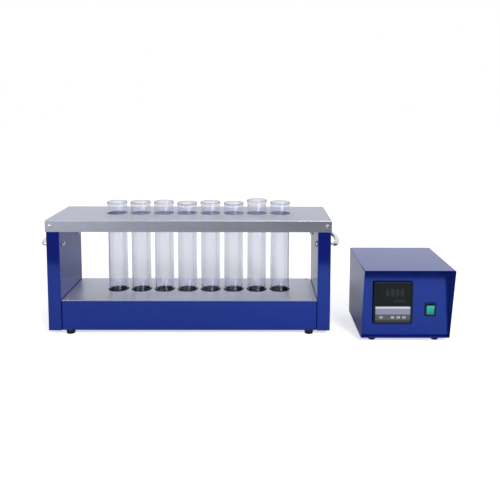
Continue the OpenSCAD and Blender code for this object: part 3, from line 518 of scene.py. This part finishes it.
class DIGESTER_OT_tubes(bpy.types.Operator):
    """Spins the glass tubes with their round bottoms and beaded mouths"""

    bl_idname = "digester.tubes"
    bl_label = "Tubes"

    def execute(self, context):
        sizes = context.scene.digester_sizes
        for name in TUBES:
            low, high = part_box(name)
            middle = (low + high) / 2
            radius = (high.x - low.x) / 2 - sizes.bead_out
            tube = lathe("glass_" + name, self.profile(radius, high.z - low.z, sizes), sizes.steps)
            smooth(place(tube, (middle.x, middle.y, low.z)), 50)
            keep(tube, FINISHES["glass"], name, "glass", name)
        return {"FINISHED"}

    def profile(self, radius, height, sizes):
        """Up the outside, round the bead and down the inside"""
        inner, out, lip = radius - sizes.tube_wall, radius + sizes.bead_out, 0.9 * MM
        low = height - sizes.bead_height
        swell = [(radius + sizes.bead_out * (1 - cos(pi * t / 6)) / 2, low + 2.4 * MM * t / 6) for t in range(7)]
        return (arc(0, radius, radius, -90, 0, 18) + swell
                + arc(out - lip, height - lip, lip, 0, 90, 5) + arc(inner + lip, height - lip, lip, 90, 180, 5)
                + arc(0, radius, inner, 0, -90, 18))


class DIGESTER_OT_sheet_metal(bpy.types.Operator):
    """Folds the shelf, the plate, the two columns and the control box's cover"""

    bl_idname = "digester.sheet_metal"
    bl_label = "Sheet metal"

    def execute(self, context):
        sizes = context.scene.digester_sizes
        self.shelf(sizes)
        self.plate()
        for side in ("left", "right"):
            self.column(side, sizes)
        self.cover(sizes)
        self.dressed("base_tray")
        self.dressed("control_chassis")
        return {"FINISHED"}

    def tube_holes(self, name, low, high, radius):
        """Cutters for the tubes' holes through a sheet"""
        holes = []
        for tube in TUBES:
            middle = sum(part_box(tube), Vector()) / 2
            holes.append(disc(name, radius, high - low + 2 * MM, (middle.x, middle.y, (high + low) / 2), sides=96))
        return holes

    def shelf(self, sizes):
        low, high = SHELF_LOW, SHELF_HIGH
        shelf = block("folded_shelf", low, high)
        pick_edges(shelf, lambda a, b: min(a.z, b.z) > high.z - MM)
        bpy.ops.mesh.bevel(offset=sizes.shelf_fold, segments=6, profile=0.5, affect="EDGES")
        close(shelf)
        pick_faces(shelf, lambda c, n: n.z < -0.9)
        bpy.ops.mesh.delete(type="FACE")
        close(shelf)
        apply_modifier(shelf, "SOLIDIFY", thickness=sizes.sheet, offset=-1, use_even_offset=True)
        cut(shelf, *self.tube_holes("hole", high.z - sizes.sheet, high.z, HOLE_IN_SHELF))
        soften(shelf, 0.25 * MM, 2)
        smooth_flat(tidy(shelf))
        keep(shelf, FINISHES["stainless"], ROOT, "stainless", "tube_shelf")

    def plate(self):
        low, high = PLATE_LOW, PLATE_HIGH
        plate = block("brushed_plate", low, high)
        cut(plate, *self.tube_holes("hole", low.z, high.z, HOLE_IN_PLATE))
        soften(plate, 0.35 * MM, 3)
        smooth_flat(tidy(plate))
        keep(plate, FINISHES["stainless"], ROOT, "stainless", "top_plate")

    def column(self, side, sizes):
        low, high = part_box(side + "_column")
        column = block(side + "_folded_column", low, high)
        pick_edges(column, lambda a, b: abs(a.z - b.z) > MM)
        bpy.ops.mesh.bevel(offset=sizes.fold, segments=6, profile=0.5, affect="EDGES")
        close(column)
        soften(column, 0.4 * MM, 2, 60)
        smooth_flat(column)
        keep(column, FINISHES["blue_paint"], ROOT, "blue_paint", side + "_column")

    def cover(self, sizes):
        low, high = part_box("control_cover")
        cover = block("folded_cover", low, high)
        for vertex in cover.data.vertices:
            if vertex.co.z < low.z + MM and vertex.co.y < low.y + MM:
                vertex.co.y += sizes.visor
        pick_edges(cover, lambda a, b: min(a.z, b.z) > high.z - MM and abs(a.y - b.y) > MM)
        bpy.ops.mesh.bevel(offset=sizes.fold, segments=6, profile=0.5, affect="EDGES")
        close(cover)
        pick_faces(cover, lambda c, n: n.z < -0.9 or abs(n.y) > 0.8)
        bpy.ops.mesh.delete(type="FACE")
        close(cover)
        apply_modifier(cover, "SOLIDIFY", thickness=sizes.sheet, offset=-1, use_even_offset=True)
        tidy(cover)
        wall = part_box("control_chassis")
        flanges = [block("flange", (x, wall[0].y + 9 * MM, low.z),
                         (x + 12 * MM, wall[1].y - 1.2 * MM, low.z + sizes.sheet))
                   for x in (low.x + 0.01 * MM, high.x - 12.01 * MM)]
        cover = join("folded_cover", [cover, *flanges])
        soften(cover, 0.3 * MM, 2)
        smooth_flat(cover)
        keep(cover, FINISHES["blue_paint"], ROOT, "blue_paint", "control_cover")

    def dressed(self, name):
        """A copy of a sheet metal node with its facets joined and its edges softened"""
        node = frame["nodes"][name]
        piece = copy_of(node, "folded_" + name)
        piece.matrix_world = node.matrix_world
        only(piece)
        bpy.ops.object.transform_apply(location=True, rotation=True, scale=True)
        bpy.ops.object.mode_set(mode="EDIT")
        bpy.ops.mesh.select_all(action="SELECT")
        bpy.ops.mesh.remove_doubles(threshold=1e-6)
        bpy.ops.mesh.dissolve_limited(angle_limit=radians(1))
        close(piece)
        soften(piece, 0.3 * MM, 2, 50)
        smooth_flat(piece)
        keep(piece, FINISHES["blue_paint"], ROOT, "blue_paint", name)


class DIGESTER_OT_handles(bpy.types.Operator):
    """Bends the two chrome bow handles and turns their domed bolts"""

    bl_idname = "digester.handles"
    bl_label = "Handles and bolts"

    def execute(self, context):
        sizes = context.scene.digester_sizes
        for side in ("left", "right"):
            self.handle(side, sizes)
        self.bolts()
        return {"FINISHED"}

    def handle(self, side, sizes):
        low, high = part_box(side + "_handle")
        rod = sizes.handle_rod / 2
        half = (high.y - low.y) / 2 - rod
        reach = high.x - low.x - rod
        rise = reach - sizes.handle_leg
        bow = (half ** 2 + rise ** 2) / (2 * rise)
        bow_x = reach - bow
        bend_y = half - sizes.handle_bend
        bend_x = bow_x + sqrt((bow - sizes.handle_bend) ** 2 - bend_y ** 2)
        turn = atan2(bend_y, bend_x - bow_x)
        bpy.ops.object.select_all(action="DESELECT")
        bpy.ops.mesh.primitive_circle_add(vertices=32, radius=rod, location=(0, -half, 0), rotation=(0, pi / 2, 0))
        handle = added(side + "_bow")
        bpy.ops.object.mode_set(mode="EDIT")
        bpy.ops.mesh.select_all(action="SELECT")
        bpy.ops.mesh.extrude_region_move(TRANSFORM_OT_translate={"value": (bend_x, 0, 0)})
        for centre, angle, steps in (((bend_x, -bend_y), pi / 2 - turn, 8), ((bow_x, 0), 2 * turn, 24),
                                     ((bend_x, bend_y), pi / 2 - turn, 8)):
            bpy.ops.mesh.spin(steps=steps, angle=-angle, center=(*centre, 0), axis=(0, 0, 1))
        bpy.ops.mesh.extrude_region_move(TRANSFORM_OT_translate={"value": (-bend_x, 0, 0)})
        bpy.ops.mesh.select_all(action="SELECT")
        bpy.ops.mesh.fill_holes(sides=0)
        close(handle)
        tidy(handle)
        handle.location = (low.x if side == "right" else high.x, (low.y + high.y) / 2, (low.z + high.z) / 2)
        handle.rotation_euler = (0, 0, 0 if side == "right" else pi)
        only(handle)
        bpy.ops.object.transform_apply(location=True, rotation=True, scale=True)
        smooth(handle, 40)
        keep(handle, FINISHES["chrome"], ROOT, "chrome", side + "_handle")

    def bolts(self):
        bolts = []
        for low, high in solids("handle_bolts"):
            radius, middle = (high.z - low.z) / 2, (low + high) / 2
            left = middle.x < (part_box("left_column")[0].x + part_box("right_column")[1].x) / 2
            seat = 5.5 * MM
            length = high.x - low.x - seat
            profile = [(0, -length), (3 * MM, -length), (3 * MM, 0), (radius - 0.3 * MM, 0), (radius, 0.3 * MM),
                       (radius, 0.9 * MM)]
            profile += [(sqrt(max(radius ** 2 - (h + 2 * MM) ** 2, 0)), h)
                        for h in (seat * sin(radians(12 + 78 * i / 14)) for i in range(15))]
            bolt = lathe("domed_bolt", profile, 48)
            place(bolt, (high.x - seat if left else low.x + seat, middle.y, middle.z), (1 if left else -1, 0, 0))
            bolts.append(smooth(bolt, 40))
        keep(join("domed_bolts", bolts), FINISHES["chrome"], ROOT, "chrome", "handle_bolts")


class DIGESTER_OT_screws(bpy.types.Operator):
    """Turns the pan head screws of the plate, the shelf, the cover and the sockets"""

    bl_idname = "digester.screws"
    bl_label = "Screws"

    def execute(self, context):
        middle = (PLATE_LOW.y + PLATE_HIGH.y) / 2
        self.row("top_plate_screws", lambda m: Vector((0, 0, 1)))
        self.row("shelf_screws", lambda m: Vector((0, -1 if m.y < middle else 1, 0)))
        self.row("socket_screws", lambda m: Vector((0, 1, 0)))
        self.row("cover_screws", lambda m: Vector((0, 0, -1)))
        return {"FINISHED"}

    def row(self, name, facing):
        screws = []
        for low, high in solids(name):
            middle, size = (low + high) / 2, high - low
            axis = facing(middle)
            length = abs(size.dot(axis))
            head = sorted(size)[1] if length == max(size) else max(size)
            pattern = self.screw(head / 2, length)
            tip = middle + axis * length / 2
            screws.append(smooth(place(pattern, tip, axis), 40))
        keep(join("cross_" + name, screws), FINISHES["zinc_steel"], ROOT, "zinc_steel", name)

    def screw(self, head, length):
        """A pan head screw with its top at the origin, its shank below"""
        high, shank = 0.62 * head, 0.54 * head
        crown = [(head * cos(radians(a)) ** 0.6, -high * 0.6 + high * 0.6 * sin(radians(a))) for a in range(0, 90, 15)]
        profile = [(0, -length), (shank * 0.7, -length), (shank, -length + shank * 0.4), (shank, -high), (head, -high),
                   *crown, (0, 0)]
        screw = lathe("screw", profile, 32)
        arms = [block("arm", (-x, -y, -high * 0.6), (x, y, MM)) for x, y in
                ((0.1 * head, 0.55 * head), (0.55 * head, 0.1 * head))]
        return tidy(cut(screw, *arms))


class DIGESTER_OT_feet(bpy.types.Operator):
    """Turns the rubber feet of both units"""

    bl_idname = "digester.feet"
    bl_label = "Feet"

    def execute(self, context):
        for name in ("heater_feet", "control_feet"):
            feet = []
            for low, high in solids(name):
                radius, height = (high.x - low.x) / 2, high.z - low.z
                seat, web, lip = 4.5 * MM, 3 * MM, 1.2 * MM
                profile = ([(0, -web), (seat, -web), (seat, 0.5 * MM - height), (seat + 0.5 * MM, -height)]
                           + arc(radius - 0.75 * MM - lip, lip - height, lip, -90, -8, 6)
                           + [(radius, -0.8 * MM), (radius - 0.5 * MM, 0), (0, 0)])
                middle = (low + high) / 2
                feet.append(smooth(place(lathe("foot", profile, 48), (middle.x, middle.y, high.z)), 50))
            keep(join("rubber_" + name, feet), FINISHES["rubber"], ROOT, "rubber", name)
        return {"FINISHED"}


class DIGESTER_OT_controller(bpy.types.Operator):
    """Makes the controller's frame, window, figures, keys and the rocker switch"""

    bl_idname = "digester.controller"
    bl_label = "Controller and switch"

    def execute(self, context):
        self.frame_round_the_face()
        self.window()
        self.figures()
        for name in KEYS:
            self.key(name)
        self.switch(context.scene.digester_sizes)
        return {"FINISHED"}

    def rounded(self, name, low, high, corner, edge, segments=5):
        """A panel piece with round corners and a softened front"""
        piece = block(name, low, high)
        pick_edges(piece, lambda a, b: abs(a.y - b.y) > 0.1 * MM)
        bpy.ops.mesh.bevel(offset=corner, segments=segments, profile=0.5, affect="EDGES")
        close(piece)
        pick_edges(piece, lambda a, b: max(a.y, b.y) < low.y + 0.01 * MM)
        bpy.ops.mesh.bevel(offset=edge, segments=4, profile=0.5, affect="EDGES")
        return close(piece)

    def frame_round_the_face(self):
        low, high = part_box("meter_frame")
        window_low, window_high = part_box("meter_window")
        fascia_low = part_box("meter_fascia")[0]
        ring = self.rounded("moulded_frame", low, high, 3 * MM, 1.2 * MM)
        opening_low = Vector((window_low.x, low.y - MM, fascia_low.z))
        opening_high = Vector((window_high.x, window_high.y, window_high.z))
        cut(ring, block("opening", opening_low, opening_high))
        for name in KEYS:
            key_low, key_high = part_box(name)
            middle = (key_low + key_high) / 2
            place_of_stem = (middle.x, high.y, middle.z)
            cut(ring, disc("stem_hole", KEY_STEM_RADIUS + KEY_STEM_CLEAR, 12 * MM, place_of_stem, "Y", 24))
        soften(ring, 0.3 * MM, 2, 50)
        smooth_flat(tidy(ring))
        keep(ring, FINISHES["black_plastic"], ROOT, "black_plastic", "meter_frame")

    def window(self):
        low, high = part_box("meter_window")
        pane = self.rounded("smoked_pane", low, high, 0.6 * MM, 0.3 * MM, 3)
        smooth_flat(pane)
        keep(pane, FINISHES["display_window"], ROOT, "display_window", "meter_window")

    def figures(self):
        """Two rows of unlit seven-segment figures and two round lamps"""
        parts = []
        for low, high in solids("meter_digits"):
            size, middle = high - low, (low + high) / 2
            if abs(size.x - size.z) < 0.05 * MM:
                parts.append(disc("lamp", size.x / 2, size.y, middle, "Y", 24))
                continue
            segment = block("segment", low, high)
            long_way = 0 if size.x > size.z else 2
            short_way = 2 - long_way
            pick_edges(segment, lambda a, b: abs(a.y - b.y) > 0.05 * MM)
            bpy.ops.mesh.bevel(offset=size[short_way] * 0.42, segments=1, affect="EDGES")
            parts.append(close(segment))
        figures = join("unlit_figures", parts)
        keep(figures, FINISHES["display_segments"], ROOT, "display_segments", "meter_digits")

    def key(self, name):
        low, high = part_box(name)
        front = low.y + KEY_CAP_DEPTH
        cap = self.rounded(name + "_cap", low, Vector((high.x, front, high.z)), 1.2 * MM, 0.5 * MM, 4)
        middle = (low + high) / 2
        place_of_stem = (middle.x, (front + high.y) / 2, middle.z)
        stem = disc("stem", KEY_STEM_RADIUS, high.y - front + 0.2 * MM, place_of_stem, "Y", 24)
        cap = join(name + "_cap", [cap, stem])
        smooth_flat(cap, 40)
        keep(cap, FINISHES["grey_key"], name, "grey_key", name)

    def switch(self, sizes):
        low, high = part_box("switch_body")
        rocker_low, rocker_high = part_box("switch_rocker")
        middle = (low + high) / 2
        face = low.y + 2 * MM
        rim = self.rounded("switch_rim", low, Vector((high.x, face, high.z)), 1.5 * MM, 0.7 * MM)
        body = block("switch_box", (low.x + MM, face - 0.2 * MM, low.z + MM),
                     (high.x - MM, high.y - 8 * MM, high.z - MM))
        tabs = [block("tab", (middle.x + x - 2.4 * MM, high.y - 8.2 * MM, middle.z + z - 0.4 * MM),
                      (middle.x + x + 2.4 * MM, high.y, middle.z + z + 0.4 * MM))
                for x in (-6 * MM, 6 * MM) for z in (-7 * MM, 0, 7 * MM)]
        half, gap = ROCKER_WIDTH / 2, 0.3 * MM
        tall = 11.2 * MM
        opening = block("opening", (middle.x - half - gap, low.y - MM, middle.z - tall),
                        (middle.x + half + gap, low.y + 14 * MM, middle.z + tall))
        body_cutter = copy_of(opening, "opening_too")
        cut(rim, opening)
        cut(body, body_cutter)
        body = join("moulded_switch", [rim, body, *tabs])
        soften(body, 0.25 * MM, 2, 50)
        smooth_flat(body)
        keep(body, FINISHES["black_plastic"], ROOT, "black_plastic", "switch_body")
        self.rocker(sizes, rocker_low, rocker_high, middle)

    def rocker(self, sizes, low, high, middle):
        """Two faces that meet in a shallow valley, turned about the pin"""
        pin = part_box("switch_body")[0].y + 3.5 * MM
        half = 10.5 * MM
        face = -3.5 * MM
        lift = half * sin(sizes.rocker_tilt) / cos(sizes.rocker_tilt)
        outline = [(face - lift, -half), (face - lift * 0.45, -half * 0.5), (face, 0), (face - lift * 0.45, half * 0.5),
                   (face - lift, half), (2 * MM, half - 2.5 * MM), (7 * MM, 2.5 * MM), (7 * MM, -2.5 * MM),
                   (2 * MM, -half + 2.5 * MM)]
        rocker = prism("tilted_rocker", outline, ROCKER_WIDTH)
        rocker.rotation_euler = (sizes.rocker_tilt, 0, 0)
        rocker.location = (middle.x, pin, middle.z)
        only(rocker)
        bpy.ops.object.transform_apply(location=True, rotation=True, scale=True)
        soften(rocker, 0.5 * MM, 3, 50)
        smooth_flat(rocker, 25)
        pins = disc("pin", 1.5 * MM, high.x - low.x, (middle.x, pin, middle.z), "X", 24)
        rocker = join("tilted_rocker", [rocker, pins])
        keep(rocker, FINISHES["green_rocker"], "switch_rocker", "green_rocker", "switch_rocker")


class DIGESTER_OT_finishes(bpy.types.Operator):
    """Makes the materials and puts them on the solids that show as they are"""

    bl_idname = "digester.finishes"
    bl_label = "Finishes"

    def execute(self, context):
        FINISHES.update(make_finishes(context.scene.digester_colours))
        slots = {p["node"]: p["material_slot"] for p in frame["record"]["subparts"]}
        for name, node in frame["nodes"].items():
            node.data.materials.clear()
            node.data.materials.append(FINISHES[slots[name]])
        return {"FINISHED"}


class DIGESTER_OT_stage(bpy.types.Operator):
    """Sets up the floor, the lamps, the white surround and the camera"""

    bl_idname = "digester.stage"
    bl_label = "Stage"

    def execute(self, context):
        scene = context.scene
        scene.view_settings.view_transform = "Standard"
        self.floor(scene.digester_colours.floor)
        # Dark cards seen only in reflections, while the bench itself stays pale: they paint dark reflections on the
        # upper fronts of the columns and on the right-hand side, and painted shade on the control panel under the visor
        self.dark_card("front_card", (0, -2.104, 0.001), (0, 0, 0), (6, 3, 1))
        self.dark_card("box_card", (0.55, -0.567, 0.001), (0, 0, 0), (0.5, 0.075, 1))
        self.dark_card("right_card", (1.35, -1.5, 0.8), (pi / 2, 0, 0), (2.1, 1.6, 1))
        self.world(scene)
        self.lamp("key_lamp", (0.9, -2.1, 1.5), (0.1, 0.0, 0.1), 0.7, 42)
        self.lamp("left_card", (-1.3, -1.7, 0.35), (-0.4, 0.0, 0.24), 1.2, 9.5).visible_diffuse = False
        self.camera(scene)
        return {"FINISHED"}

    def floor(self, colour):
        bpy.ops.object.select_all(action="DESELECT")
        bpy.ops.mesh.primitive_plane_add(size=14, location=(0, 2, 0))
        floor = added("floor")
        f = Finish("pale_bench", tuple(colour), 0.9)
        f.tint(f.spread(f.noise(0.6, 2), 0, 1), times(colour, 0.995), times(colour, 1.005))
        path = f.tree.nodes.new("ShaderNodeLightPath")
        f.shader.inputs["Emission Color"].default_value = (1, 1, 1, 1)
        lift = f.tree.nodes.new("ShaderNodeMath")
        f.link(f.spread(path.outputs["Is Camera Ray"], 0, 0.62, 0, 1), lift.inputs[0])
        f.link(f.spread(path.outputs["Is Transmission Ray"], 0, 0.2, 0, 1), lift.inputs[1])
        f.link(lift.outputs[0], f.shader.inputs["Emission Strength"])
        floor.data.materials.append(f.material)

    def dark_card(self, name, middle, turn, scale):
        """A dark card that shows only in reflections"""
        bpy.ops.object.select_all(action="DESELECT")
        bpy.ops.mesh.primitive_plane_add(size=1, location=middle, rotation=turn)
        bpy.context.object.scale = scale
        card = added(name)
        card.data.materials.append(Finish("dark_card", (0.01, 0.01, 0.015), 0.9).material)
        for ray in ("camera", "diffuse", "shadow", "transmission"):
            setattr(card, "visible_" + ray, False)

    def world(self, scene):
        world = scene.world or bpy.data.worlds.new("surround")
        scene.world = world
        world.use_nodes = True
        tree = world.node_tree
        tree.nodes.clear()
        output = tree.nodes.new("ShaderNodeOutputWorld")
        background = tree.nodes.new("ShaderNodeBackground")
        background.inputs["Color"].default_value = (1, 1, 1, 1)
        path = tree.nodes.new("ShaderNodeLightPath")
        seen = path.outputs["Is Camera Ray"]
        for kind in ("Is Glossy Ray", "Is Transmission Ray"):
            either = tree.nodes.new("ShaderNodeMath")
            either.operation = "MAXIMUM"
            tree.links.new(seen, either.inputs[0])
            tree.links.new(path.outputs[kind], either.inputs[1])
            seen = either.outputs[0]
        level = tree.nodes.new("ShaderNodeMapRange")
        level.inputs["To Min"].default_value = 0.45
        level.inputs["To Max"].default_value = 1.0
        tree.links.new(seen, level.inputs["Value"])
        tree.links.new(level.outputs["Result"], background.inputs["Strength"])
        tree.links.new(background.outputs[0], output.inputs[0])

    def lamp(self, name, where, target, size, power):
        data = bpy.data.lights.new(name, "AREA")
        data.shape = "DISK"
        data.size = size
        data.energy = power
        lamp = bpy.data.objects.new(name, data)
        lamp.location = where
        lamp.rotation_mode = "QUATERNION"
        lamp.rotation_quaternion = (Vector(target) - Vector(where)).to_track_quat("-Z", "Y")
        bpy.context.scene.collection.objects.link(lamp)
        lamp.visible_camera = False
        return lamp

    def camera(self, scene):
        data = bpy.data.cameras.new("camera")
        data.sensor_width = 36
        data.lens = 42.525
        data.shift_x = -0.0187
        data.shift_y = -0.1929
        camera = bpy.data.objects.new("camera", data)
        camera.location = (0.03183, -1.32271, 0.52588)
        camera.rotation_euler = CAMERA_TURN
        scene.collection.objects.link(camera)
        scene.camera = camera


class DIGESTER_PT_panel(bpy.types.Panel):
    """Lists the pieces of the digester and its colours"""

    bl_label = "Block digester"
    bl_space_type = "VIEW_3D"
    bl_region_type = "UI"
    bl_category = "Digester"

    def draw(self, context):
        for name in STEPS:
            self.layout.operator("digester." + name)
        for group in (context.scene.digester_sizes, context.scene.digester_colours):
            for key in group.__annotations__:
                self.layout.prop(group, key)


STEPS = ["stage", "finishes", "tubes", "sheet_metal", "handles", "screws", "feet", "controller"]
CLASSES = (DigesterSizes, DigesterColours, DIGESTER_OT_finishes, DIGESTER_OT_stage, DIGESTER_OT_tubes,
           DIGESTER_OT_sheet_metal, DIGESTER_OT_handles, DIGESTER_OT_screws, DIGESTER_OT_feet,
           DIGESTER_OT_controller, DIGESTER_PT_panel)


def register():
    for item in CLASSES:
        bpy.utils.register_class(item)
    bpy.types.Scene.digester_sizes = PointerProperty(type=DigesterSizes)
    bpy.types.Scene.digester_colours = PointerProperty(type=DigesterColours)


def unregister():
    del bpy.types.Scene.digester_colours
    del bpy.types.Scene.digester_sizes
    for item in reversed(CLASSES):
        bpy.utils.unregister_class(item)


def main():
    register()
    for name in STEPS:
        getattr(bpy.ops.digester, name)()


if __name__ == "__main__":
    main()
